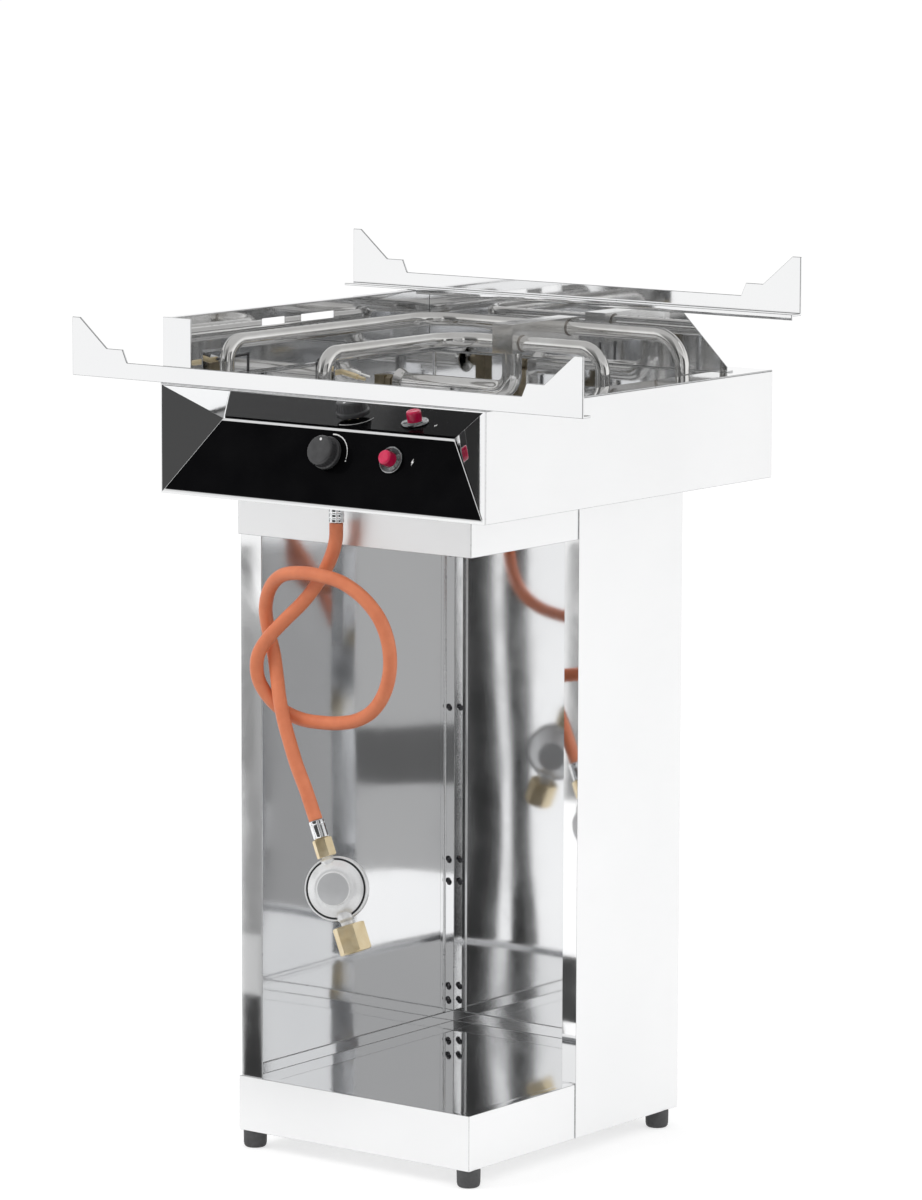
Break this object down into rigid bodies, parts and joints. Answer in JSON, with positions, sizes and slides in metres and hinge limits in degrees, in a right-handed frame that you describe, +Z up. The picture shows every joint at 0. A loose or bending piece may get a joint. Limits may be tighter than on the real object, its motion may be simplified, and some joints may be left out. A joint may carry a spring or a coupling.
{
  "type": "paella burner",
  "caption": "Free-standing gas paella burner: polished steel head with bent burner tubes and two pan rails, on an open sheet steel stand, with hose and regulator.",
  "frame": {"origin": "on the floor under the middle of the bounding box", "axes": "+Z up, +X to the right as seen from the control panel, +Y to the back"},
  "size_m": [0.691, 0.5356, 0.984],
  "materials": {
    "stainless": "polished",
    "dark_metal": "satin",
    "chrome": "polished",
    "dark_rubber": "matte",
    "black_panel": "gloss",
    "burner_steel": "satin",
    "brass": "satin",
    "white_print": "gloss",
    "black_plastic": "satin",
    "red_plastic": "gloss",
    "hose_rubber": "satin",
    "regulator_paint": "satin"
  },
  "bodies": {
    "burner": {"base_tray": "stainless", "top_frame": "stainless", "left_side_panel": "stainless", "rear_panel": "stainless", "right_rear_panel": "stainless", "rear_left_post": "stainless", "rear_right_post": "stainless", "post_screws": "dark_metal", "head_bolts": "chrome", "foot_front_left": "dark_rubber", "foot_front_right": "dark_rubber", "foot_rear_left": "dark_rubber", "foot_rear_right": "dark_rubber", "foot_bolts": "chrome", "head_shell": "stainless", "head_floor": "stainless", "front_fascia": "stainless", "control_panel": "black_panel", "top_rim": "stainless", "well_tray": "stainless", "left_wind_guard": "stainless", "rear_wind_guard": "stainless", "guard_screws": "chrome", "burner_manifold": "burner_steel", "outer_tube_left": "burner_steel", "outer_tube_right": "burner_steel", "inner_tube_left": "burner_steel", "inner_tube_right": "burner_steel", "mixing_tube": "burner_steel", "mixing_tube_strap": "stainless", "gas_injector": "brass", "injector_block": "brass", "pilot_bracket": "stainless", "thermocouple": "brass", "thermocouple_lead": "dark_rubber", "spark_electrode": "white_print", "ignition_lead": "dark_rubber", "gas_valve": "brass", "gas_feed_pipe": "burner_steel", "gas_inlet_pipe": "burner_steel", "igniter_bezel": "chrome", "igniter_body": "black_plastic", "igniter_spring": "chrome", "igniter_nut": "chrome", "hose_top_ferrule": "chrome", "gas_hose": "hose_rubber", "hose_end_ferrule": "chrome", "hose_nut": "brass", "regulator_body": "regulator_paint", "regulator_cap": "regulator_paint", "union_seal": "dark_rubber"},
    "valve_turn": {"valve_plug": "chrome", "spindle_spring": "chrome"},
    "knob": {"valve_spindle": "chrome", "valve_knob": "black_plastic", "knob_dot": "white_print"},
    "igniter_push": {"igniter_button": "red_plastic"},
    "front_rail": {"front_pan_rail": "stainless"},
    "rear_rail": {"rear_pan_rail": "stainless"},
    "cylinder_nut": {"union_nut": "brass"}
  },
  "joints": [
    {"name": "knob_turn", "type": "hinge", "parent": "burner", "child": "valve_turn", "pos_m": [0, -0.24214, 0.78496], "axis": [0, -0.9363, 0.3511], "range_deg": [-120, 0]},
    {"name": "knob_press", "type": "slide", "parent": "valve_turn", "child": "knob", "axis": [0, 0.9363, -0.3511], "range_m": [0, 0.004], "stiffness_N_per_m": 1500, "springref_m": -0.002},
    {"name": "igniter_press", "type": "slide", "parent": "burner", "child": "igniter_push", "axis": [0, 0.9363, -0.3511], "range_m": [0, 0.006], "stiffness_N_per_m": 1500, "springref_m": -0.002},
    {"name": "front_rail_lift", "type": "slide", "parent": "burner", "child": "front_rail", "axis": [0, 0, 1], "range_m": [0, 0.08]},
    {"name": "rear_rail_lift", "type": "slide", "parent": "burner", "child": "rear_rail", "axis": [0, 0, 1], "range_m": [0, 0.08]},
    {"name": "cylinder_nut_spin", "type": "hinge", "parent": "burner", "child": "cylinder_nut", "pos_m": [0.0287, -0.2454, 0.27588], "axis": [0.3746, 0, -0.9272], "continuous": true}
  ]
}
